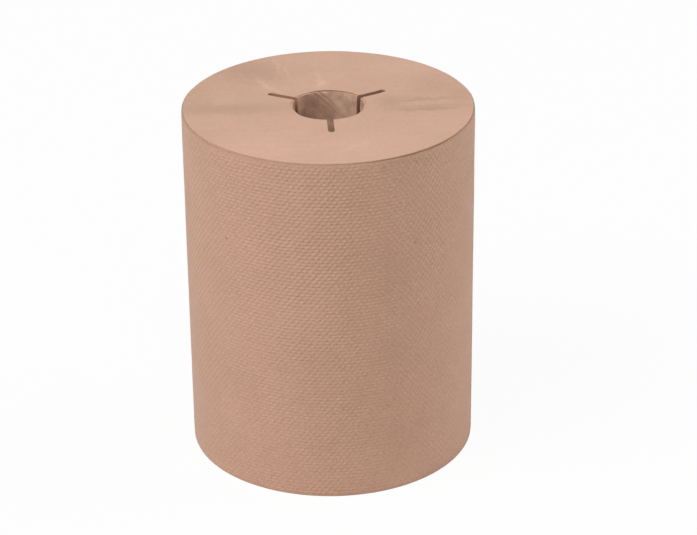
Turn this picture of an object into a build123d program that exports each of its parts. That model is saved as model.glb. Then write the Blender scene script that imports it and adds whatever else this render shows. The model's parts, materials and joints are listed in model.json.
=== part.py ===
from build123d import *
import os

# Hardwound paper towel roll: one long kraft web wound tightly on a paperboard core.
# The roll stands on its plain end. Its axis is +Z, the origin is the middle of the end that
# it stands on, and one of the three notches in the upper end points along -Y.
# All lengths are millimetres.

# The web, all its turns together
ROLL_DIAMETER = 203.2       # over the last turn, 8 in
WEB_WIDTH = 254.0           # width of the sheet, so the height of the standing roll, 10 in
SHEET_THICKNESS = 0.3       # one embossed sheet, the step at the tail of the last turn
RIM_ROUNDING = 0.5          # the pressed edge of the outer turns
LOOSE_TURNS = 0.6           # the last two turns, which lie a little lower than the rest
LOOSE_DROP = 0.8            # how far their upper edge lies below the roll's end
TAIL_ANGLE = 78.0           # degrees, where the last turn ends, on the back

# The core
BORE_DIAMETER = 49.5        # inside of the core, nominally 2 in
CORE_WALL = 1.6             # three plies of paperboard
CORE_RECESS = 0.2           # how far each end of the core lies inside the roll's end
WRAP_CLEARANCE = 0.05       # between the core and the first turn
SEAM_PITCH = 160.0          # the inner ply winds round once in this length
SEAM_WIDTH = 1.2            # the gap between the edges of the inner ply
SEAM_DEPTH = 0.35           # the thickness of that ply
SEAM_END_ANGLE = 105.0      # degrees, where the seam meets the upper end

# The notches that the hub of a dispenser keys into
NOTCH_COUNT = 3
NOTCH_FIRST_ANGLE = -90.0   # degrees, the front notch
NOTCH_REACH = 22.5          # from the wall of the bore to the round tip
NOTCH_WIDTH = 4.5
NOTCH_DEPTH = 19.0          # down from the upper end

# The ends: groups of turns lie a little deeper than their neighbours
TURN_STEP = 0.3             # the deepest group
OUTER_FLAT = 4.0            # plain ring at the rim, which the roll stands on
INNER_FLAT = 3.0            # plain ring round the core
# Each group's outer edge as a share of the ring between the flats, and its share of TURN_STEP
UPPER_GROUP_SHARES = [
    (0.09, 0.5), (0.21, 0.8), (0.27, 0.4), (0.40, 0.9),
    (0.52, 0.5), (0.66, 1.0), (0.78, 0.4), (1.00, 0.3),
]
LOWER_GROUP_SHARES = [(0.25, 0.6), (0.48, 0.9), (0.70, 0.5), (1.00, 0.3)]

OVERRUN = 2.0               # how far every cut runs past what it cuts

ROLL_RADIUS = ROLL_DIAMETER / 2
BORE_RADIUS = BORE_DIAMETER / 2
CORE_RADIUS = BORE_RADIUS + CORE_WALL
CORE_LENGTH = WEB_WIDTH - 2 * CORE_RECESS
WEB_INNER_RADIUS = CORE_RADIUS + WRAP_CLEARANCE
HALF_TURN = 180.0
WHOLE_TURN = 360.0


def half_roll(radius):
    """Half a roll on its own axis, on the +Y side, with rounded rims and the loose turns' step."""
    from_axis = (Align.MIN, Align.MIN)
    tight = Rectangle(radius - LOOSE_TURNS, WEB_WIDTH, align=from_axis)
    tight = fillet(tight.vertices().group_by(Axis.Y)[-1].sort_by(Axis.X)[-1], RIM_ROUNDING)
    loose = Rectangle(radius, WEB_WIDTH - LOOSE_DROP, align=from_axis)
    loose = fillet(loose.vertices().group_by(Axis.Y)[0].sort_by(Axis.X)[-1], RIM_ROUNDING)
    return revolve(Plane.XZ * (tight + loose), Axis.Z, HALF_TURN)


def wound_blank():
    """The last turn as a spiral of two half circles, with the tail's step where it ends."""
    outer_half = half_roll(ROLL_RADIUS)
    closing_half = Rot(Z=HALF_TURN) * half_roll(ROLL_RADIUS - SHEET_THICKNESS / 2)
    closing_half = Pos(X=-SHEET_THICKNESS / 2) * closing_half
    return Rot(Z=TAIL_ANGLE) * (outer_half + closing_half)


def turn_groups(group_shares):
    """What the groups of turns leave free above an end at Z = 0, as one stepped ring."""
    inner = WEB_INNER_RADIUS + INNER_FLAT
    outer = ROLL_RADIUS - OUTER_FLAT
    points = [(inner, OVERRUN)]
    radius = inner
    for edge_share, depth_share in group_shares:
        depth = TURN_STEP * depth_share
        points.append((radius, -depth))
        radius = inner + (outer - inner) * edge_share
        points.append((radius, -depth))
    points.append((outer, OVERRUN))
    section = make_face(Polyline(*points, close=True))
    return revolve(Plane.XZ * section, Axis.Z)


def notches():
    """Three radial slots with round tips, open to the bore and to the upper end."""
    tip_centre = BORE_RADIUS + NOTCH_REACH - NOTCH_WIDTH / 2
    slot = Rectangle(tip_centre, NOTCH_WIDTH, align=(Align.MIN, Align.CENTER))
    slot += Pos(X=tip_centre) * Circle(NOTCH_WIDTH / 2)
    spokes = Sketch() + PolarLocations(0, NOTCH_COUNT, NOTCH_FIRST_ANGLE) * slot
    return Pos(Z=WEB_WIDTH - NOTCH_DEPTH) * extrude(spokes, NOTCH_DEPTH + OVERRUN)


def towel_web():
    """Every turn of the web as one body, from the core out to the tail."""
    bore = Pos(Z=WEB_WIDTH / 2) * Cylinder(WEB_INNER_RADIUS, WEB_WIDTH + 2 * OVERRUN)
    upper_groups = Pos(Z=WEB_WIDTH) * turn_groups(UPPER_GROUP_SHARES)
    lower_groups = Rot(X=HALF_TURN) * turn_groups(LOWER_GROUP_SHARES)
    return wound_blank() - bore - upper_groups - lower_groups - notches()


def ply_seam():
    """The open seam of the core's inner ply: a shallow groove that winds up the bore."""
    rise = CORE_LENGTH + 2 * OVERRUN
    path = Helix(SEAM_PITCH, rise, BORE_RADIUS)
    across = Plane(origin=path @ 0, x_dir=(1, 0, 0), z_dir=path % 0)
    groove = sweep(across * Rectangle(2 * SEAM_DEPTH, SEAM_WIDTH), path, is_frenet=True)
    start_angle = SEAM_END_ANGLE - WHOLE_TURN * (CORE_LENGTH + OVERRUN) / SEAM_PITCH
    return Pos(Z=CORE_RECESS - OVERRUN) * Rot(Z=start_angle) * groove


def core_tube():
    """The spiral-wound paperboard tube, notched together with the web."""
    tube = Cylinder(CORE_RADIUS, CORE_LENGTH) - Cylinder(BORE_RADIUS, CORE_LENGTH + 2 * OVERRUN)
    return Pos(Z=WEB_WIDTH / 2) * tube - ply_seam() - notches()


os.makedirs("parts", exist_ok=True)
export_step(towel_web(), "parts/towel_web.step")
export_step(core_tube(), "parts/core_tube.step")
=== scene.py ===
import json
from math import asin, cos, exp, pi, radians, sin, sqrt, tau

import bmesh
import bpy
import numpy as np
from mathutils import Matrix, Vector


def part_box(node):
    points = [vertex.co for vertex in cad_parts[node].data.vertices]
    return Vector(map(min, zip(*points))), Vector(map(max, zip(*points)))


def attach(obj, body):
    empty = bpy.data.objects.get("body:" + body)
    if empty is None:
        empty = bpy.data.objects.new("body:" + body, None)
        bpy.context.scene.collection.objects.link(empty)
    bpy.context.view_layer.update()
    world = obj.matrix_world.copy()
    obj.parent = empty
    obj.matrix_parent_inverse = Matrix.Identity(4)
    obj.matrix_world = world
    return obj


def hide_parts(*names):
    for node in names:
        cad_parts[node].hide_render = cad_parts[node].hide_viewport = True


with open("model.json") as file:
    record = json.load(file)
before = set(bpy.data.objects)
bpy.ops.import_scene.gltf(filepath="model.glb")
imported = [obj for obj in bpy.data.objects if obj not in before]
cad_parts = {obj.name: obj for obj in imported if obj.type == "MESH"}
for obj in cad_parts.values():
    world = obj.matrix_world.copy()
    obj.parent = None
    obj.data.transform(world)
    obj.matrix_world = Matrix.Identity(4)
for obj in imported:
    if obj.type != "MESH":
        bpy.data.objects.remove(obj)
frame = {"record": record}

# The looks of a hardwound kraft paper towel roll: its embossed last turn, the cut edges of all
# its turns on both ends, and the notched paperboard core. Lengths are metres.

MM = 0.001
WHITE = (1.0, 1.0, 1.0, 1.0)
NOISE_MEAN = 0.5                # of a noise texture, which runs from 0 to 1
MERGE_DISTANCE = 0.002 * MM     # points of a mesh that lie closer are one
SHARP_EDGE = radians(50.0)      # edges that are bent less look smooth
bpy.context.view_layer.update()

# The roll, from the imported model
web_low, web_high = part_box("towel_web")
core_low, core_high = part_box("core_tube")
ROLL_RADIUS = -web_low.x
WEB_WIDTH = web_high.z
bore_mount = next(m for m in frame["record"]["mounts"] if m["name"] == "bore")
BORE_RADIUS = bore_mount["dims"]["r_mm"] * MM

# The last turn, a sheet that is embossed with staggered rows of small raised ovals
SHEET = 0.3 * MM                # one embossed sheet, the step at its tail
TAIL_ANGLE = radians(78.0)      # where the last turn ends, on the back
TUCKED_SHARE = 0.02             # of a turn, that runs on under the tail
LOOSE_LEDGE = 0.35 * MM         # its upper edge, seen from above
CREVICE = 0.4 * MM              # the gap behind that edge where it has come loose
SHUT_CREVICE = 0.05 * MM        # and elsewhere
CREVICE_DEPTH = 1.8 * MM
DOT_PITCH = 4.2 * MM            # from dot to dot along a row
ROW_PITCH = 2.58 * MM           # from row to row
STEPS_PER_DOT = 6
STEPS_PER_ROW = 4
LEDGE_ROWS = 2                  # rows of the mesh across the ledge
EDGE_ROWS = LEDGE_ROWS + 1      # and with the one down in the crevice, the same at both edges
SIDE_PANELS = 4

# What the tree of the last turn takes, beside what its grid needs
LAST_TURN = {
    "Radius": ROLL_RADIUS,
    "Width": WEB_WIDTH,
    "Sheet": SHEET,
    "Seed": 3.0,
    # the dots
    "Dot Height": 0.5 * MM,
    "Dot Sunk Share": 0.35,             # of that height, which lies inside the roll's radius
    "Dot Roundness": 0.24,              # larger makes the dots narrower
    "Row Sharpness": 0.39,              # larger makes them flatter ovals
    "Dot Stray": 1.8,                   # how far the rows wander, in radians of their phase
    "Stray Length": 9.0 * MM,
    "Pressed Edge": 2.5 * MM,           # the dots fade out towards both edges
    "Press Low": 0.75,                  # the steel rolls pressed less at the sheet's lower edge
    "Press High": 1.3,                  # and more at its upper edge
    "Press Least": 0.8,                 # and unevenly all over, between these two
    "Press Most": 1.15,
    "Press Length": 22.0 * MM,
    "Side Rub": 0.4,                    # hands that hold the roll have rubbed its sides flatter
    "Swell Length": 70.0 * MM,          # the sheet swells and sinks over this length
    # the tail
    "Tail Angle": TAIL_ANGLE,
    "Tail Lift": 0.5 * MM,              # how far the tail's edge stands off
    "Tail Curl": 7.0 * MM,              # how soon it lies down again
    "Tail Fold Share": 1.3,             # of a sheet, which its cut edge folds in
    # the upper edge
    "Drop": 0.8 * MM,                   # about how far it lies below the roll's end
    "Drop Least Share": 0.1,            # of that, where it is ragged least
    "Drop Ragged Share": 1.8,           # and how much more at most
    "Ragged Length": 9.0 * MM,
    "Ledge": LOOSE_LEDGE,
    "Shut Ledge": LOOSE_LEDGE + CREVICE - SHUT_CREVICE,
    "Crevice Depth": CREVICE_DEPTH,
    "Crevice Angle": radians(-66.0),
    "Crevice Spread": radians(23.0),
    "Flare": 1.2 * MM,                  # where it has come loose, at the front
    "Flare Angle": radians(-56.0),
    "Flare Spread": radians(19.0),
    "Flare Start Share": 0.975,         # of the sheet's width
    "Slip": 1.3 * MM,                   # where the last turn has slipped down, at the left
    "Slip Angle": radians(-141.0),
    "Slip Spread": radians(9.0),
    # the crushed place at the front
    "Dent": 0.5 * MM,
    "Dent Angle": radians(-88.0),
    "Dent Below Rim": 9.0 * MM,
    "Dent Spread": 9.0 * MM,
    "Dent Inward": 0.6,                 # the noise at which it keeps its radius
    "Dent Fade": 0.2,                   # how much flatter its dots are
    "Crumple Length": 4.0 * MM,
}

# Dark specks of bark in the sheet at the front, as angle in degrees and height in mm
BARK_SPECKS = [(-136.1, 187.9), (-58.0, 187.8)]
BARK_SIZE = 1.2 * MM

# The ends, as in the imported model: each group's outer edge as a share of the ring between the
# flats, and its share of the deepest step
TURN_STEP = 0.3 * MM
OUTER_FLAT = 4.0 * MM
INNER_FLAT = 3.0 * MM
UPPER_GROUP_SHARES = [
    (0.09, 0.5), (0.21, 0.8), (0.27, 0.4), (0.40, 0.9),
    (0.52, 0.5), (0.66, 1.0), (0.78, 0.4), (1.00, 0.3),
]
LOWER_GROUP_SHARES = [(0.25, 0.6), (0.48, 0.9), (0.70, 0.5), (1.00, 0.3)]
RING_PITCH = 0.8 * MM           # a ring of the mesh stands for two or three turns
RING_STEP = 1.8 * MM            # a group's edge, from its foot to its top
RING_UNEVEN = 0.01 * MM         # how far single turns stray
RIM = ROLL_RADIUS - LOOSE_LEDGE - CREVICE   # of the tight turns, inside the last one
RIM_ROUNDING = 0.35 * MM
ROUNDING_STEPS = 4
WALL_SHARES = (1.0, 2.5)        # of the crevice's depth, where the wall below the rim has its rings
TIP_SHARES = (0.4, 0.25, 0.12, 0.04, 0.0)   # of a notch's width, rings that close up to its tip
UPPER_STEPS = 144               # in the third of a turn between two notches
LOWER_STEPS = 96
UPPER_SEED = 11
LOWER_SEED = 12
EDGES_SLOT, SHEET_SLOT, SAWN_SHADE_SLOT = 0, 1, 2     # the materials of an end; the sawn one's darker colour is painted shade in the notches and at the bore
BLADE_ANGLE = radians(2.4)      # of the blade's marks across the ends
# painted sheen and shade of the upper end: soft patches where the fine cut edges would reflect more or
# less light, as cut_edges takes them, in mm and degrees
UPPER_SHEEN_PATCHES = [
    (-3.5, 38, 3.5, 6, 0, 0.16),    # painted highlight behind the bore, with a tongue to the back
    (-4, 51, 2.2, 11, 4, 0.10),
    (-52, 66, 27, 25, 0, -0.16),    # painted shade over a quarter at the back left, with streaks of painted sheen
    (-33, 74, 1.8, 13, 8, 0.13),
    (-26, 62, 1.6, 13, 4, 0.09),
    (-45, 46, 2.2, 12, 24, 0.13),
    (-39, 34, 1.8, 9, 40, 0.11),
    (-57, 55, 1.6, 9, 18, 0.07),
    (-66, 30, 22, 13, -35, -0.05),
    (-62, -2, 38, 10, 0, -0.15),    # bands of painted shade at both sides
    (70, -9, 24, 7, 0, -0.14),
    (68, 6, 20, 3, 0, -0.10),
    (42, 3, 12, 12, 0, -0.11),
    (75, 30, 22, 24, 0, -0.08),
    (66, -12, 20, 2.0, 2, -0.13),
    (64, 4, 18, 1.6, 3, -0.11),
    (66, -3, 18, 2.0, 3, 0.08),
    (93, 10, 8, 20, 0, -0.08),
    (-90, 20, 12, 30, 0, -0.09),
    (-10, -82, 80, 30, 0, 0.06),    # painted sheen, paler towards the front
    (-55, -66, 40, 22, 0, 0.06),
    (13, -73, 17, 1.4, 45, 0.06),   # scratches
    (24, -66, 13, 1.0, 62, 0.04),
]

# The core
CORE_WALL = 1.6 * MM
WRAP_CLEARANCE = 0.05 * MM
WEB_INNER_RADIUS = BORE_RADIUS + CORE_WALL + WRAP_CLEARANCE
CORE_COLUMNS = 170
CORE_SEEN = 60.0 * MM           # the upper stretch, which has finer rows
CORE_FINE_ROW = 1.5 * MM
CORE_COARSE_ROW = 5.0 * MM
CORE_SEED = 21
CREASES = 9                     # along the winding, each with a height, a length across and a drift
CREASE_HEIGHTS = (0.02 * MM, 0.07 * MM)
CREASE_LENGTHS = (0.8 * MM, 3.0 * MM)
CREASE_DRIFTS = (12.0 * MM, 50.0 * MM)

# The core's mouth, which hubs have worn wider, most at front and back
MOUTH_FLARE = 1.35 * MM
MOUTH_DEPTH = 9.0 * MM          # how far down that reaches
MOUTH_LOSS = 0.8 * MM           # and how much of the core's end has gone
THINNEST_WALL = 0.15 * MM       # what is left of the core there
SIDE_WEAR_SHARE = 0.15          # of the most wear, at the sides
UNWORN_SHARE = 0.6              # of the wear, which is missing on one side of the seam
UNWORN_PLACE = 8.0 * MM
UNWORN_WIDTH = 6.0 * MM
CORNER_SHARE = 0.8              # of the depth, which is missing on its other side,
CORNER_PLACE = -3.5 * MM        # where the ply's corner is bent back
CORNER_WIDTH = 2.5 * MM

# The seam of the core's inner ply
SEAM_PITCH = 160.0 * MM
SEAM_WIDTH = 1.2 * MM
SEAM_DEPTH = 0.35 * MM
SEAM_SHUT_SHARE = 0.35          # of that depth, where the ply lies flat
SEAM_LIP = 0.6 * MM             # the ply's edge beside the gap, which has lifted near the end
SEAM_LIFTED = 12.0 * MM         # how far down it has lifted
SEAM_WANDER = 0.4 * MM
SEAM_WANDER_LENGTH = 5.0 * MM
SEAM_END_ANGLE = radians(105.0)     # where the seam meets the upper end
GAP_SHARE = 0.4                 # half widths of the gap and of the lip, of the seam's width
LIP_SHARE = 0.9
SEAM_COLUMNS = 15               # the finer columns of the mesh, and how many widths they reach
SEAM_REACH = 2.5

# The notches
NOTCH_ANGLES = [radians(a) for a in (-90.0, 30.0, 150.0)]
NOTCH_REACH = 22.5 * MM
NOTCH_WIDTH = 4.5 * MM
NOTCH_DEPTH = 19.0 * MM
NOTCH_TIP = BORE_RADIUS + NOTCH_REACH
BETWEEN_NOTCHES = tau / len(NOTCH_ANGLES)

# The studio
WORLD_LIGHT = 0.2
FLOOR_GLOW = 0.95               # how much of the floor is plain white to the camera
FLOOR_HALF = 8.0
SOFTBOX_SIZE = 5.5
SOFTBOX_DISTANCE = 10.0
# azimuth, elevation and power of each lamp
SOFTBOXES = {
    "key_upper_left": (-60, 50, 525.0),
    "top_front": (0, 50, 219.0),
    "low_left": (-70, 15, 119.0),
    "low_right": (100, 15, 431.0),
}

# The photograph's view, worked out from the outline of the roll
IMAGE_WIDTH = 697               # pixels
FOCAL_PIXELS = 2549.0
SENSOR = 36.0
CAMERA_DISTANCE = 1.628
CAMERA_HEIGHT = 0.936
CAMERA_AZIMUTH = radians(-2.44)
CAMERA_YAW = radians(-0.45)
CAMERA_PITCH = radians(26.39)
CAMERA_ROLL = radians(-0.62)


# Node trees

def linear(hex_colour):
    """An sRGB hex colour as linear RGBA."""
    parts = [int(hex_colour[i:i + 2], 16) / 255 for i in (1, 3, 5)]
    return [c / 12.92 if c <= 0.04045 else ((c + 0.055) / 1.055) ** 2.4 for c in parts] + [1.0]


class Output:
    """An output of a node. Arithmetic with it adds the nodes that work it out."""

    def __init__(self, tree, socket):
        self.tree = tree
        self.socket = socket

    def calc(self, operation, *others):
        """What an operation of the Math node makes of this and others."""
        return add(self.tree, "ShaderNodeMath", dict(enumerate((self, *others))), operation=operation)

    def __add__(self, other):
        return self.calc("ADD", other)

    def __sub__(self, other):
        return self.calc("SUBTRACT", other)

    def __mul__(self, other):
        return self.calc("MULTIPLY", other)

    def __truediv__(self, other):
        return self.calc("DIVIDE", other)

    def __rsub__(self, other):
        return add(self.tree, "ShaderNodeMath", {0: other, 1: self}, operation="SUBTRACT")

    def __rtruediv__(self, other):
        return add(self.tree, "ShaderNodeMath", {0: other, 1: self}, operation="DIVIDE")


def add(tree, kind, inputs, output=0, **settings):
    """Adds one node with its settings, and its values or links by the socket's name or number.
    Returns the output with that name or number."""
    node = tree.nodes.new(kind)
    for name, value in settings.items():
        setattr(node, name, value)
    for key, value in inputs.items():
        if isinstance(key, str):
            socket = next(s for s in node.inputs if s.enabled and s.name == key)
        else:
            socket = node.inputs[key]
        if isinstance(value, Output):
            tree.links.new(value.socket, socket)
        else:
            socket.default_value = value
    if isinstance(output, str):
        return Output(tree, next(s for s in node.outputs if s.enabled and s.name == output))
    return Output(tree, node.outputs[output]) if node.outputs else None


# Materials

def new_material(name):
    """An empty material and its tree."""
    material = bpy.data.materials.new(name)
    material.use_nodes = True
    material.node_tree.nodes.clear()
    return material, material.node_tree


def kraft_tissue():
    """Unbleached kraft tissue, creped on a drum and embossed between steel rolls. It is dull, with a
    pale fuzz at a grazing angle and fine pale and dark fibres in a soft cloudy brown. The raised dots
    are painted paler and the ground between them darker: a painted highlight and shade that
    strengthen the shading of their relief."""
    cloud_size = 35 * MM
    fleck_size = 1.6 * MM       # fibres are 0.03 mm wide, too fine to show, so flecks stand for them
    speck_gap = 7 * MM
    bump_depth = 0.15 * MM
    dot_relief = 4.2            # the mesh gives the dots their height, and the bump their crisp edges
    material, tree = new_material("kraft_tissue")
    place = add(tree, "ShaderNodeTexCoord", {}, "Object")
    clouds = add(tree, "ShaderNodeTexNoise", {"Vector": place, "Scale": 1 / cloud_size, "Detail": 3.0})
    base = add(tree, "ShaderNodeMix", {"Factor": clouds, "A": linear("#BE957D"), "B": linear("#CBA18A")},
               "Result", data_type="RGBA")
    fibres = add(tree, "ShaderNodeTexNoise",
                 {"Vector": place, "Scale": 1 / fleck_size, "Detail": 3.0, "Roughness": 0.7})
    fibre_tone = add(tree, "ShaderNodeMapRange",
                     {"Value": fibres, "From Min": 0.3, "From Max": 0.7, "To Min": 0.9, "To Max": 1.1})
    raised = add(tree, "ShaderNodeAttribute", {}, "Fac", attribute_name="embossed")
    # painted highlight and shade: the raised dots are painted paler and the ground between them darker
    dot_painted_light = add(tree, "ShaderNodeMapRange", {"Value": raised, "To Min": 0.93, "To Max": 1.06})
    specks = add(tree, "ShaderNodeTexVoronoi", {"Vector": place, "Scale": 1 / speck_gap}, "Distance")
    speck_tone = add(tree, "ShaderNodeMapRange",
                     {"Value": specks, "From Min": 0.035, "From Max": 0.07, "To Min": 0.8, "To Max": 1.0})
    tone = fibre_tone * dot_painted_light * speck_tone
    for degrees, height in BARK_SPECKS:
        angle = radians(degrees)
        speck = (ROLL_RADIUS * cos(angle), ROLL_RADIUS * sin(angle), height * MM)
        away = add(tree, "ShaderNodeVectorMath", {0: place, 1: speck}, "Value", operation="DISTANCE")
        tone *= add(tree, "ShaderNodeMapRange", {"Value": away, "From Min": BARK_SIZE / 2,
                                                 "From Max": BARK_SIZE, "To Min": 0.62, "To Max": 1.0})
    colour = add(tree, "ShaderNodeVectorMath", {0: base, "Scale": tone}, operation="SCALE")
    bump = add(tree, "ShaderNodeBump",
               {"Height": raised * dot_relief + fibres, "Strength": 1.0, "Distance": bump_depth}, "Normal")
    shader = add(tree, "ShaderNodeBsdfPrincipled",
                 {"Base Color": colour, "Normal": bump, "Roughness": 0.9, "Specular IOR Level": 0.2,
                  "Sheen Weight": 0.3, "Sheen Roughness": 0.45, "Sheen Tint": linear("#FFF4EE")}, "BSDF")
    add(tree, "ShaderNodeOutputMaterial", {"Surface": shader})
    return material


def cut_edges(name, dark, pale, sheen_patches):
    """Turns of kraft tissue cut square by a blade: their edges lie close and are smeared flat, so the
    end looks smooth, paler than the sheet, with long faint marks where the blade went across all
    turns, and with soft patches of painted sheen and shade where the fine cut edges would catch more
    or less light. A patch is its middle, the half lengths of its axes, the angle of the first axis
    and how much paler (painted sheen) or, when negative, darker (painted shade) than the rest it is.
    The notches' walls are sawn instead, and the darker colour given for them is painted shade in
    these recesses."""
    mark_length = 55 * MM
    mark_width = 1.6 * MM       # a blade's marks are 0.1 mm wide, too fine to show, so they are coarser
    mark_contrast = 0.026
    cloud_size = 38 * MM
    fibre_size = 2.2 * MM
    fibre_contrast = 0.05
    ragged_size = 9 * MM        # the patches have ragged outlines
    bump_depth = 0.15 * MM
    material, tree = new_material(name)
    place = add(tree, "ShaderNodeTexCoord", {}, "Object")
    blade = add(tree, "ShaderNodeMapping", {"Vector": place, "Rotation": (0.0, 0.0, BLADE_ANGLE),
                                            "Scale": (1 / mark_length, 1 / mark_width, 1 / mark_length)})
    marks = add(tree, "ShaderNodeTexNoise",
                {"Vector": blade, "Scale": 1.0, "Detail": 3.0, "Roughness": 0.6})
    clouds = add(tree, "ShaderNodeTexNoise", {"Vector": place, "Scale": 1 / cloud_size, "Detail": 2.0})
    fibres = add(tree, "ShaderNodeTexNoise",
                 {"Vector": place, "Scale": 1 / fibre_size, "Detail": 4.0, "Roughness": 0.65})
    base = add(tree, "ShaderNodeMix", {"Factor": clouds, "A": linear(dark), "B": linear(pale)}, "Result",
               data_type="RGBA")
    mark_tone, fibre_tone = (
        add(tree, "ShaderNodeMapRange", {"Value": texture, "From Min": 0.3, "From Max": 0.7,
                                         "To Min": 1 - contrast, "To Max": 1 + contrast})
        for texture, contrast in ((marks, mark_contrast), (fibres, fibre_contrast)))
    tone = mark_tone * fibre_tone
    stray = add(tree, "ShaderNodeTexNoise",
                {"Vector": place, "Scale": 1 / ragged_size, "Detail": 3.0}, "Color")
    stray = add(tree, "ShaderNodeVectorMath", {0: stray, 1: (NOISE_MEAN,) * 3}, operation="SUBTRACT")
    stray = add(tree, "ShaderNodeVectorMath", {0: stray, "Scale": ragged_size}, operation="SCALE")
    ragged = add(tree, "ShaderNodeVectorMath", {0: place, 1: stray}, operation="ADD")
    # each patch is painted sheen where its value is above zero and painted shade where it is below
    for x, y, half_x, half_y, turn, sheen_or_shade in sheen_patches:
        inside = add(tree, "ShaderNodeMapping",
                     {"Vector": ragged, "Location": (x * MM, y * MM, WEB_WIDTH),
                      "Rotation": (0.0, 0.0, radians(turn)), "Scale": (half_x * MM, half_y * MM, 1.0)},
                     vector_type="TEXTURE")
        away = add(tree, "ShaderNodeVectorMath", {0: inside, 1: inside}, "Value",
                   operation="DOT_PRODUCT")
        bell = add(tree, "ShaderNodeMath", {0: exp(-1.0), 1: away}, operation="POWER")
        tone *= bell * sheen_or_shade + 1.0
    colour = add(tree, "ShaderNodeVectorMath", {0: base, "Scale": tone}, operation="SCALE")
    bump = add(tree, "ShaderNodeBump",
               {"Height": marks, "Strength": 0.25, "Distance": bump_depth}, "Normal")
    shader = add(tree, "ShaderNodeBsdfPrincipled",
                 {"Base Color": colour, "Normal": bump, "Roughness": 0.8, "Specular IOR Level": 0.25,
                  "Sheen Weight": 0.08, "Sheen Roughness": 0.5}, "BSDF")
    add(tree, "ShaderNodeOutputMaterial", {"Surface": shader})
    return material


def core_board():
    """Chipboard wound in a spiral from kraft pulp: calendered, so a little smoother than the tissue,
    with pale and dark fibres, streaks along the winding and a mottle of damp and dry places."""
    streak_width = 1.5 * MM
    streak_length = 25 * MM
    fibre_size = 2 * MM         # fibres are 0.03 mm wide, too fine to show, so they are coarser
    mottle_size = 9 * MM
    bump_depth = 0.2 * MM
    material, tree = new_material("core_board")
    place = add(tree, "ShaderNodeTexCoord", {}, "Object")
    height = add(tree, "ShaderNodeSeparateXYZ", {0: place}, "Z")
    wound = add(tree, "ShaderNodeVectorRotate", {"Vector": place, "Angle": height * (-tau / SEAM_PITCH)},
                rotation_type="Z_AXIS")
    streaked = add(tree, "ShaderNodeMapping",
                   {"Vector": wound, "Scale": (1 / streak_width, 1 / streak_width, 1 / streak_length)})
    streaks = add(tree, "ShaderNodeTexNoise",
                  {"Vector": streaked, "Scale": 1.0, "Detail": 3.0, "Roughness": 0.6})
    fibres = add(tree, "ShaderNodeTexNoise",
                 {"Vector": place, "Scale": 1 / fibre_size, "Detail": 5.0, "Roughness": 0.7})
    mottle = add(tree, "ShaderNodeTexNoise", {"Vector": place, "Scale": 1 / mottle_size, "Detail": 4.0})
    spread = add(tree, "ShaderNodeMapRange", {"Value": mottle, "From Min": 0.35, "From Max": 0.65})
    base = add(tree, "ShaderNodeMix", {"Factor": spread, "A": linear("#BD9983"), "B": linear("#D8B49C")},
               "Result", data_type="RGBA")
    fibre_tone = add(tree, "ShaderNodeMapRange",
                     {"Value": fibres, "From Min": 0.3, "From Max": 0.7, "To Min": 0.9, "To Max": 1.08})
    streak_tone = add(tree, "ShaderNodeMapRange",
                      {"Value": streaks, "From Min": 0.3, "From Max": 0.7, "To Min": 0.92, "To Max": 1.07})
    colour = add(tree, "ShaderNodeVectorMath", {0: base, "Scale": fibre_tone * streak_tone},
                 operation="SCALE")
    bump = add(tree, "ShaderNodeBump",
               {"Height": fibres, "Strength": 0.5, "Distance": bump_depth}, "Normal")
    shader = add(tree, "ShaderNodeBsdfPrincipled",
                 {"Base Color": colour, "Normal": bump, "Roughness": 0.75, "Specular IOR Level": 0.3},
                 "BSDF")
    add(tree, "ShaderNodeOutputMaterial", {"Surface": shader})
    return material


# The last turn

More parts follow.
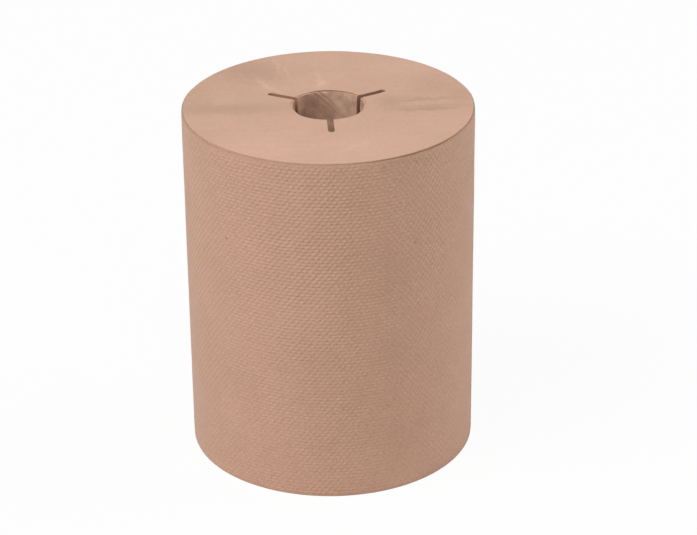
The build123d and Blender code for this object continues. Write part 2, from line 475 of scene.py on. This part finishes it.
def last_turn_tree():
    """A sheet wound once round the roll: its radius falls by one sheet in a turn, its dots stand out,
    its upper edge folds over a narrow ledge into the crevice behind it."""
    tree = bpy.data.node_groups.new("last_turn", "GeometryNodeTree")
    for name in ("Columns", "Rows", "Columns In A Turn"):
        tree.interface.new_socket(name, in_out="INPUT", socket_type="NodeSocketInt")
    for name in ("Dots In A Turn", "Rows Of Dots", *LAST_TURN):
        tree.interface.new_socket(name, in_out="INPUT", socket_type="NodeSocketFloat")
    tree.interface.new_socket("Material", in_out="INPUT", socket_type="NodeSocketMaterial")
    tree.interface.new_socket("Geometry", in_out="OUTPUT", socket_type="NodeSocketGeometry")
    given = {socket.name: Output(tree, socket) for socket in tree.nodes.new("NodeGroupInput").outputs}

    def smooth(value, low, high, to_low=0.0, to_high=1.0):
        return add(tree, "ShaderNodeMapRange", {"Value": value, "From Min": low, "From Max": high,
                                                "To Min": to_low, "To Max": to_high},
                   interpolation_type="SMOOTHSTEP")

    def bell(distance, spread):
        steps = distance / spread
        return (steps * steps * -1.0).calc("EXPONENT")

    # a flat grid: the columns run round the roll, the rows up it, and a few more rows at both edges
    grid = add(tree, "GeometryNodeMeshGrid",
               {"Size X": 1.0, "Size Y": 1.0, "Vertices X": given["Columns"] + 1.0,
                "Vertices Y": given["Rows"] + (2.0 * EDGE_ROWS + 1.0)}, "Mesh")
    half_grid = 1.0 / 2
    place = add(tree, "GeometryNodeInputPosition", {})
    across = add(tree, "ShaderNodeSeparateXYZ", {0: place}, "X") + half_grid
    upward = add(tree, "ShaderNodeSeparateXYZ", {0: place}, "Y") + half_grid
    column = across * given["Columns"]
    first_column = column.calc("LESS_THAN", 1.0 / 2)
    turn_share = column / given["Columns In A Turn"]
    row = upward * (given["Rows"] + 2.0 * EDGE_ROWS) - EDGE_ROWS
    past_top = (row - given["Rows"]).calc("MAXIMUM", 0.0)
    past_bottom = (row * -1.0).calc("MAXIMUM", 0.0)
    rise_share = row.calc("MAXIMUM", 0.0).calc("MINIMUM", given["Rows"]) / given["Rows"]
    angle = turn_share * tau + given["Tail Angle"]

    # where the sheet lies before it is embossed, for the places where it is uneven
    lies = add(tree, "ShaderNodeCombineXYZ", {"X": angle.calc("COSINE") * given["Radius"],
                                              "Y": angle.calc("SINE") * given["Radius"],
                                              "Z": rise_share * given["Width"]})

    def uneven(length, detail):
        return add(tree, "ShaderNodeTexNoise", {"Vector": lies, "W": given["Seed"],
                                                "Scale": 1.0 / given[length], "Detail": detail},
                   noise_dimensions="4D")

    def near_angle(centre, spread):
        return bell((angle - centre).calc("WRAP", pi, -pi), spread)

    # the dots, in rows that are staggered by half a pitch
    stray = (uneven("Stray Length", 2.0) - NOISE_MEAN) * given["Dot Stray"]
    dot_phase = turn_share * given["Dots In A Turn"] * tau + stray
    row_phase = rise_share * given["Rows Of Dots"] * pi + stray / 2.0
    dot_fall = (dot_phase.calc("COSINE") * row_phase.calc("COSINE") - 1.0) * given["Dot Roundness"] * 2.0
    row_fall = ((row_phase * 2.0).calc("COSINE") - 1.0) * given["Row Sharpness"]
    dot = (dot_fall + row_fall).calc("EXPONENT")

    # the crushed place
    below_rim = (1.0 - rise_share) * given["Width"] - given["Dent Below Rim"]
    dent_round = given["Dent Spread"] / given["Radius"]
    crushed = near_angle(given["Dent Angle"], dent_round) * bell(below_rim, given["Dent Spread"])

    # how well the dots are pressed, and kept since
    fades = given["Pressed Edge"] / given["Width"]
    sideways = angle.calc("COSINE")
    pressed = smooth(uneven("Press Length", 2.0), 0.35, 0.65, given["Press Least"], given["Press Most"])
    pressed *= smooth(rise_share, 0.0, 1.0, given["Press Low"], given["Press High"])
    pressed *= smooth(rise_share, 0.0, fades) * smooth(1.0 - rise_share, 0.0, fades)
    kept = (1.0 - crushed * given["Dent Fade"]) * (1.0 - sideways * sideways * given["Side Rub"])
    embossed = dot * pressed * kept

    # how far out the sheet lies
    wound = given["Radius"] - given["Sheet"] * turn_share
    raised = (embossed - given["Dot Sunk Share"]) * given["Dot Height"]
    swollen = (uneven("Swell Length", 1.0) - NOISE_MEAN) * given["Sheet"]
    from_tail = turn_share * tau * given["Radius"]
    lifted = (from_tail * -1.0 / given["Tail Curl"]).calc("EXPONENT") * given["Tail Lift"]
    flared = near_angle(given["Flare Angle"], given["Flare Spread"]) * given["Flare"]
    flared *= smooth(rise_share, given["Flare Start Share"], 1.0)
    dented = crushed * (uneven("Crumple Length", 3.0) - given["Dent Inward"]) * given["Dent"]
    outward = wound + raised + (swollen + lifted) + (flared + dented)
    folded = first_column * (given["Sheet"] * given["Tail Fold Share"] + given["Tail Lift"])
    shut = 1.0 - near_angle(given["Crevice Angle"], given["Crevice Spread"])
    ledge = shut * (given["Shut Ledge"] - given["Ledge"]) + given["Ledge"]
    over_ledge = past_top.calc("MINIMUM", LEDGE_ROWS) / LEDGE_ROWS * ledge
    inward = folded + over_ledge + past_bottom * given["Ledge"]
    radius = outward - inward

    # how high it lies
    slipped = near_angle(given["Slip Angle"], given["Slip Spread"]) * given["Slip"]
    ragged = uneven("Ragged Length", 4.0) * given["Drop Ragged Share"] + given["Drop Least Share"]
    sheet_top = given["Width"] - (given["Drop"] * ragged + slipped)
    in_crevice = past_top.calc("GREATER_THAN", LEDGE_ROWS + 1.0 / 2)
    level = rise_share * sheet_top - in_crevice * given["Crevice Depth"]

    # the first column is the tail's cut edge, folded straight in
    turned = angle + first_column * (tau / given["Columns In A Turn"])
    wrapped = add(tree, "ShaderNodeCombineXYZ", {"X": turned.calc("COSINE") * radius,
                                                 "Y": turned.calc("SINE") * radius, "Z": level})
    geometry = add(tree, "GeometryNodeStoreNamedAttribute",
                   {"Geometry": grid, "Name": "embossed", "Value": embossed},
                   data_type="FLOAT", domain="POINT")
    geometry = add(tree, "GeometryNodeSetPosition", {"Geometry": geometry, "Position": wrapped})
    geometry = add(tree, "GeometryNodeSetShadeSmooth", {"Geometry": geometry})
    geometry = add(tree, "GeometryNodeRealizeInstances", {"Geometry": geometry})
    geometry = add(tree, "GeometryNodeSetMaterial",
                   {"Geometry": geometry, "Material": given["Material"]})
    group_output = tree.nodes.new("NodeGroupOutput")
    tree.links.new(geometry.socket, group_output.inputs[0])
    return tree


def run_tree(tree, values):
    """The mesh that a tree of Geometry Nodes makes from these inputs."""
    holder = bpy.data.objects.new("holder", bpy.data.meshes.new("holder"))
    bpy.context.collection.objects.link(holder)
    modifier = holder.modifiers.new("tree", "NODES")
    modifier.node_group = tree
    for item in tree.interface.items_tree:
        if item.in_out == "INPUT":
            modifier[item.identifier] = values[item.name]
    evaluated = holder.evaluated_get(bpy.context.evaluated_depsgraph_get())
    mesh = bpy.data.meshes.new_from_object(evaluated)
    bpy.data.objects.remove(holder)
    return mesh


def put_in_place(name, mesh, node):
    """Makes a finished mesh a piece that stands for a node, which it hides, and rides on the one body."""
    piece = bpy.data.objects.new(name, mesh)
    bpy.context.collection.objects.link(piece)
    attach(piece, "root")
    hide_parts(node)


def last_turn(tissue):
    """The last turn as four panels of one mesh. They share the points and normals along the cuts
    between them, so that nothing shows the cuts."""
    dots = round(tau * ROLL_RADIUS / DOT_PITCH)
    turn_columns = dots * STEPS_PER_DOT
    columns = turn_columns + round(turn_columns * TUCKED_SHARE)
    rows = round(WEB_WIDTH / ROW_PITCH * STEPS_PER_ROW)
    mesh = run_tree(last_turn_tree(), {
        "Columns": columns, "Rows": rows, "Columns In A Turn": turn_columns,
        "Dots In A Turn": float(dots), "Rows Of Dots": rows / STEPS_PER_ROW,
        "Material": tissue, **LAST_TURN,
    })
    count = len(mesh.vertices)
    points, normals = np.empty(count * 3), np.empty(count * 3)
    embossed = np.empty(count)
    faces = np.empty(len(mesh.loops), dtype=np.int64)
    mesh.vertices.foreach_get("co", points)
    mesh.vertex_normals.foreach_get("vector", normals)
    mesh.attributes["embossed"].data.foreach_get("value", embossed)
    mesh.loops.foreach_get("vertex_index", faces)
    points, normals, faces = points.reshape(-1, 3), normals.reshape(-1, 3), faces.reshape(-1, 4)
    column_of_face = faces.min(axis=1) // (count // (columns + 1))
    cuts = np.linspace(0, columns, SIDE_PANELS + 1).round()
    for number, (start, end) in enumerate(zip(cuts[:-1], cuts[1:]), 1):
        inside = (column_of_face >= start) & (column_of_face < end)
        used, renumbered = np.unique(faces[inside], return_inverse=True)
        panel = bpy.data.meshes.new(f"last_turn_{number}")
        panel.from_pydata(points[used].tolist(), [], renumbered.reshape(-1, 4).tolist())
        panel.materials.append(tissue)
        panel.shade_smooth()
        panel.attributes.new("embossed", "FLOAT", "POINT").data.foreach_set("value", embossed[used])
        panel.normals_split_custom_set_from_vertices(normals[used].tolist())
        put_in_place(panel.name, panel, "towel_web")


# The ends of the roll

def half_notch(radius):
    """The half width of a notch at a radius, round at its tip and zero beyond it."""
    half = NOTCH_WIDTH / 2
    past = max(radius - (NOTCH_TIP - half), 0.0)
    return sqrt(max(half ** 2 - past ** 2, 0.0))


def end_rings(groups):
    """Radius and depth of every ring of an end, with a steep step at each group's edge."""
    inner = WEB_INNER_RADIUS + INNER_FLAT
    outer = ROLL_RADIUS - OUTER_FLAT
    edges = [inner] + [inner + (outer - inner) * share for share, _ in groups]
    depths = [0.0] + [TURN_STEP * share for _, share in groups] + [0.0]
    rings = [(WEB_INNER_RADIUS, 0.0)]
    starts = [WEB_INNER_RADIUS] + edges
    ends = edges + [RIM - RIM_ROUNDING]
    for start, end, depth in zip(starts, ends, depths):
        count = max(round((end - start) / RING_PITCH), 1)
        for step in range(count + 1):
            radius = start + (end - start) * step / count
            if step == 0:
                radius += RING_STEP / 2
            if step == count and end != ends[-1]:
                radius -= RING_STEP / 2
            rings.append((radius, depth))
    return rings


def close_up_to_tips(rings):
    """The rings of the notched end. They close up towards the notches' round tips, and the ring at
    the tips is there twice: cut by the notches, and whole."""
    beyond = next(i for i, ring in enumerate(rings) if ring[0] > NOTCH_TIP)
    depth = rings[beyond][1]
    at_tips = [(NOTCH_TIP - NOTCH_WIDTH * share, depth, True) for share in TIP_SHARES]
    inside = [ring for ring in rings[:beyond] if ring[0] < at_tips[0][0] - RING_PITCH / 2]
    outside = [(radius, depth, False) for radius, depth, _ in rings[beyond:]
               if radius > NOTCH_TIP + RING_PITCH / 2]
    return inside + at_tips + [(NOTCH_TIP, depth, False)] + outside


def wound_end(name, z_end, up, groups, angle_steps, edges, sheet, sawn_in_shade=None):
    """The cut edges of all turns on one end, as rings between the core and the rim, with the rim's
    rounding and a stretch of wall below it, which is the sheet's own face. An end with a sawn material,
    whose darker colour is painted shade, has the notches: between two of them a ring is a third of a
    turn, and each notch has its two walls and its floor. The sawn material also covers the ring that
    drops into the crevice at the bore, as painted shade there."""
    notched = sawn_in_shade is not None
    rng = np.random.default_rng(UPPER_SEED if notched else LOWER_SEED)
    rings = [(radius, depth + rng.uniform(-1, 1) * RING_UNEVEN, notched)
             for radius, depth in end_rings(groups)]
    if notched:
        rings = close_up_to_tips(rings)
    bore = [(WEB_INNER_RADIUS, CREVICE_DEPTH, notched)]
    rounding = [(RIM - RIM_ROUNDING * (1 - sin(a)), RIM_ROUNDING * (1 - cos(a)), False)
                for a in np.linspace(0, pi / 2, ROUNDING_STEPS + 1)[1:]]
    wall = [(RIM, RIM_ROUNDING + CREVICE_DEPTH * share, False) for share in WALL_SHARES]
    rings = bore + rings + rounding + wall

    spiral_start = RIM - RIM_ROUNDING * 2
    turn_share = np.linspace(0, 1, angle_steps + 1)
    width = angle_steps + 5         # with the foot and the middle of the notch at both ends
    points = []
    for start in NOTCH_ANGLES:
        end = start + BETWEEN_NOTCHES
        for radius, depth, open_notch in rings:
            half = asin(half_notch(radius) / radius) if open_notch else 0.0
            angles = start + half + turn_share * (BETWEEN_NOTCHES - 2 * half)
            lies = np.full(len(angles), radius)
            if radius > spiral_start:
                lies = radius - SHEET * ((angles - TAIL_ANGLE) % tau) / tau
            level = np.full(len(angles), z_end - up * depth)
            ring = np.column_stack([lies * np.cos(angles), lies * np.sin(angles), level])
            floor = z_end - up * (NOTCH_DEPTH if open_notch else depth)
            feet = [(x, y, floor) for x, y, _ in (ring[0], ring[-1])]
            middles = feet
            if open_notch:
                across = radius * cos(half)
                middles = [(across * cos(a), across * sin(a), floor) for a in (start, end)]
            points += [middles[0], feet[0], *ring.tolist(), feet[1], middles[1]]
    faces = []
    for patch in range(len(NOTCH_ANGLES)):
        first = patch * len(rings) * width
        corner = first + np.arange(len(rings) - 1)[:, None] * width + np.arange(width - 1)[None]
        quads = np.stack([corner, corner + width, corner + width + 1, corner + 1], -1).reshape(-1, 4)
        faces += (quads if up > 0 else quads[:, ::-1]).tolist()
    slots = np.full((len(rings) - 1, width - 1), EDGES_SLOT, dtype=np.int32)
    slots[-len(rounding + wall):] = SHEET_SLOT
    if notched:
        # the crevice at the bore and the notches' walls and floors take the darker sawn material: painted
        # shade in these recesses
        slots[0] = SAWN_SHADE_SLOT
        slots[:, [0, 1, -2, -1]] = SAWN_SHADE_SLOT
    mesh = bpy.data.meshes.new(name)
    mesh.from_pydata(points, [], faces)
    for material in (edges, sheet, sawn_in_shade) if notched else (edges, sheet):
        mesh.materials.append(material)
    mesh.polygons.foreach_set("material_index", np.tile(slots.ravel(), len(NOTCH_ANGLES)))
    clean_up(mesh)
    put_in_place(name, mesh, "towel_web")


def clean_up(mesh):
    """Merges doubled points, drops empty faces, and keeps only real edges sharp."""
    shape = bmesh.new()
    shape.from_mesh(mesh)
    bmesh.ops.remove_doubles(shape, verts=shape.verts, dist=MERGE_DISTANCE)
    bmesh.ops.dissolve_degenerate(shape, edges=shape.edges, dist=MERGE_DISTANCE)
    shape.to_mesh(mesh)
    shape.free()
    mesh.shade_smooth()
    mesh.set_sharp_from_angle(angle=SHARP_EDGE)


# The core

def hill(distance, half_width):
    """1 at no distance, and falling to 0 on both sides."""
    return exp(-((distance / half_width) ** 2))


def wall_relief(across, z, creases):
    """How far the bore's wall stands out, at a distance from the seam and a height. The inner ply's
    edges leave a gap, beside which they have lifted near the end, and creases run along the winding."""
    lifted = hill(core_high.z - z, SEAM_LIFTED)
    place = across - SEAM_WANDER * sin(z / SEAM_WANDER_LENGTH)
    gap_depth = SEAM_DEPTH * (SEAM_SHUT_SHARE + (1 - SEAM_SHUT_SHARE) * lifted)
    gap = gap_depth * hill(place, SEAM_WIDTH * GAP_SHARE)
    lip = SEAM_LIP * lifted * hill(place - SEAM_WIDTH, SEAM_WIDTH * LIP_SHARE)
    crease = sum(height * sin(across / length + z / drift + phase)
                 for height, length, drift, phase in creases)
    return lip - gap + crease


def wear(angle, across):
    """How much the core's mouth is worn, from 0 to 1, at an angle and a distance from the seam."""
    spared = UNWORN_SHARE * hill(across - UNWORN_PLACE, UNWORN_WIDTH)
    return (SIDE_WEAR_SHARE + (1 - SIDE_WEAR_SHARE) * sin(angle) ** 2) * (1 - spared)


def mouth(angle, across, z):
    """How much wider than the bore the core's mouth is, at an angle, a distance from the seam and a
    height."""
    reach = MOUTH_DEPTH * (1 - CORNER_SHARE * hill(across - CORNER_PLACE, CORNER_WIDTH))
    return MOUTH_FLARE * wear(angle, across) * exp(-(core_high.z - z) / reach)


def paperboard_core(board, edges, sawn_in_shade):
    """The spiral-wound core as one closed tube whose grid turns with the winding, so that the seam and
    the creases run along its columns. The three notches are then cut through it."""
    rng = np.random.default_rng(CORE_SEED)
    creases = [(rng.uniform(*CREASE_HEIGHTS), rng.uniform(*CREASE_LENGTHS), rng.uniform(*CREASE_DRIFTS),
                rng.uniform(0, tau)) for _ in range(CREASES)]
    girth = tau * BORE_RADIUS
    near_seam = np.linspace(-SEAM_REACH, SEAM_REACH, SEAM_COLUMNS) * SEAM_WIDTH
    elsewhere = np.linspace(near_seam[-1], girth + near_seam[0], CORE_COLUMNS)[1:-1]
    columns = np.concatenate([near_seam, elsewhere])
    off_seam = np.where(columns > girth / 2, columns - girth, columns)
    seen_from = core_high.z - CORE_SEEN
    deep = np.linspace(core_low.z, seen_from, round((WEB_WIDTH - CORE_SEEN) / CORE_COARSE_ROW))
    seen = np.linspace(seen_from, core_high.z, round(CORE_SEEN / CORE_FINE_ROW))
    heights = np.concatenate([deep, seen[1:]])
    # the section: up the bore's wall and down the outside
    outside = BORE_RADIUS + CORE_WALL
    section = [(BORE_RADIUS, z) for z in heights] + [(outside, z) for z in heights[::-1]]
    points = []
    for row, (radius, z) in enumerate(section):
        seam = SEAM_END_ANGLE + tau * (z - core_high.z) / SEAM_PITCH
        for along, across in zip(columns, off_seam):
            angle = seam + along / BORE_RADIUS
            lies, level = radius, z
            if z == core_high.z:
                level -= MOUTH_LOSS * wear(angle, across)
            if row < len(heights):
                lies += mouth(angle, across, z) - wall_relief(across, z, creases)
                lies = min(lies, outside - THINNEST_WALL)
            points.append((lies * cos(angle), lies * sin(angle), level))
    n, rows = len(columns), len(section)
    end_rows = (len(heights) - 1, rows - 1)
    faces, slots = [], []
    for row in range(rows):
        for i in range(n):
            j = (i + 1) % n
            a, b = row * n, (row + 1) % rows * n
            faces.append((a + i, b + i, b + j, a + j))
            slots.append(1 if row in end_rows else 0)
    mesh = bpy.data.meshes.new("paperboard_core")
    mesh.from_pydata(points, [], faces)
    mesh.materials.append(board)
    mesh.materials.append(edges)
    mesh.polygons.foreach_set("material_index", slots)
    core = bpy.data.objects.new("paperboard_core", mesh)
    bpy.context.collection.objects.link(core)
    cut = core.modifiers.new("notches", "BOOLEAN")
    cut.object = notch_cutter(sawn_in_shade)
    cut.operation = "DIFFERENCE"
    cut.solver = "EXACT"
    cut.material_mode = "TRANSFER"
    evaluated = core.evaluated_get(bpy.context.evaluated_depsgraph_get())
    finished = bpy.data.meshes.new_from_object(evaluated)
    bpy.data.objects.remove(cut.object)
    bpy.data.objects.remove(core)
    clean_up(finished)
    put_in_place("paperboard_core", finished, "core_tube")


def notch_cutter(sawn_in_shade):
    """Three fins as one closed star, which cut the notches through the core and give them their
    sawn material, whose darker colour is painted shade in the notches."""
    shape = bmesh.new()
    start = BORE_RADIUS / 2
    length = NOTCH_TIP - start
    size = Matrix.Diagonal((length, NOTCH_WIDTH, NOTCH_DEPTH * 2, 1.0))
    place = Matrix.Translation((start + length / 2, 0, WEB_WIDTH))
    for angle in NOTCH_ANGLES:
        fin = bmesh.ops.create_cube(shape, size=1.0)["verts"]
        bmesh.ops.transform(shape, matrix=Matrix.Rotation(angle, 4, "Z") @ place @ size, verts=fin)
    mesh = bpy.data.meshes.new("fins")
    shape.to_mesh(mesh)
    shape.free()
    mesh.materials.append(sawn_in_shade)
    cutter = bpy.data.objects.new("fins", mesh)
    bpy.context.collection.objects.link(cutter)
    return cutter


# The stage

def plain_floor():
    """A white studio floor that keeps a faint shadow."""
    material, tree = new_material("white_floor")
    diffuse = add(tree, "ShaderNodeBsdfDiffuse", {"Color": linear("#F4F4F4")}, "BSDF")
    glow = add(tree, "ShaderNodeEmission", {"Color": WHITE, "Strength": 1.0}, "Emission")
    share = seen_directly(tree) * FLOOR_GLOW
    seen = add(tree, "ShaderNodeMixShader", {0: share, 1: diffuse, 2: glow}, "Shader")
    add(tree, "ShaderNodeOutputMaterial", {"Surface": seen})
    mesh = bpy.data.meshes.new("floor")
    corners = [(x * FLOOR_HALF, y * FLOOR_HALF, 0) for x, y in ((-1, -1), (1, -1), (1, 1), (-1, 1))]
    mesh.from_pydata(corners, [], [(0, 1, 2, 3)])
    mesh.materials.append(material)
    floor = bpy.data.objects.new("floor", mesh)
    bpy.context.collection.objects.link(floor)


def seen_directly(tree):
    """1 for what the camera sees, straight or in a mirror or through glass."""
    rays = tree.nodes.new("ShaderNodeLightPath").outputs
    straight = Output(tree, rays["Is Camera Ray"])
    mirrored = Output(tree, rays["Is Glossy Ray"])
    through_glass = Output(tree, rays["Is Transmission Ray"])
    return straight.calc("MAXIMUM", mirrored).calc("MAXIMUM", through_glass)


def white_world():
    """Soft light from all round, and plain white where the camera sees it."""
    world = bpy.data.worlds.new("studio")
    bpy.context.scene.world = world
    world.use_nodes = True
    tree = world.node_tree
    tree.nodes.clear()
    light = add(tree, "ShaderNodeBackground", {"Color": WHITE, "Strength": WORLD_LIGHT}, "Background")
    white = add(tree, "ShaderNodeBackground", {"Color": WHITE, "Strength": 1.0}, "Background")
    seen = add(tree, "ShaderNodeMixShader", {0: seen_directly(tree), 1: light, 2: white}, "Shader")
    add(tree, "ShaderNodeOutputWorld", {"Surface": seen})


def softbox(name, azimuth, elevation, power):
    """A square soft lamp, aimed at the roll from an azimuth (0 is the front) and an elevation."""
    turn, rise = radians(azimuth), radians(elevation)
    towards = Vector((sin(turn) * cos(rise), -cos(turn) * cos(rise), sin(rise)))
    lamp = bpy.data.lights.new(name, "AREA")
    lamp.shape = "SQUARE"
    lamp.size = SOFTBOX_SIZE
    lamp.energy = power
    holder = bpy.data.objects.new(name, lamp)
    bpy.context.collection.objects.link(holder)
    holder.location = Vector((0, 0, WEB_WIDTH / 2)) + towards * SOFTBOX_DISTANCE
    holder.rotation_euler = towards.to_track_quat("Z", "Y").to_euler()


def camera():
    """The photograph's own view of the standing roll."""
    lens = bpy.data.cameras.new("camera")
    lens.sensor_width = SENSOR
    lens.lens = FOCAL_PIXELS / IMAGE_WIDTH * SENSOR
    holder = bpy.data.objects.new("camera", lens)
    bpy.context.collection.objects.link(holder)
    turned = Matrix.Rotation(CAMERA_AZIMUTH, 4, "Z")
    moved = Matrix.Translation((0.0, -CAMERA_DISTANCE, CAMERA_HEIGHT))
    aimed = Matrix.Rotation(CAMERA_YAW, 4, "Z") @ Matrix.Rotation(pi / 2 - CAMERA_PITCH, 4, "X")
    holder.matrix_world = turned @ moved @ aimed @ Matrix.Rotation(CAMERA_ROLL, 4, "Z")
    bpy.context.scene.camera = holder


bpy.context.scene.view_settings.view_transform = "Standard"
camera()
plain_floor()
white_world()
for lamp_name, (lamp_azimuth, lamp_elevation, lamp_power) in SOFTBOXES.items():
    softbox(lamp_name, lamp_azimuth, lamp_elevation, lamp_power)

tissue_face = kraft_tissue()
upper_edges = cut_edges("kraft_edges_upper", "#D3A991", "#DFB59D", UPPER_SHEEN_PATCHES)
lower_edges = cut_edges("kraft_edges_lower", "#D3A991", "#DFB59D", [])
# the sawn walls of the notches and the bore's crevice: their darker colour is painted shade in these
# recesses
sawn_edges_in_shade = cut_edges("kraft_edges_sawn_shade", "#A87C62", "#BC8F75", [])
last_turn(tissue_face)
wound_end("turns_upper_end", WEB_WIDTH, 1, UPPER_GROUP_SHARES, UPPER_STEPS, upper_edges, tissue_face,
          sawn_edges_in_shade)
wound_end("turns_lower_end", 0.0, -1, LOWER_GROUP_SHARES, LOWER_STEPS, lower_edges, tissue_face)
paperboard_core(core_board(), upper_edges, sawn_edges_in_shade)
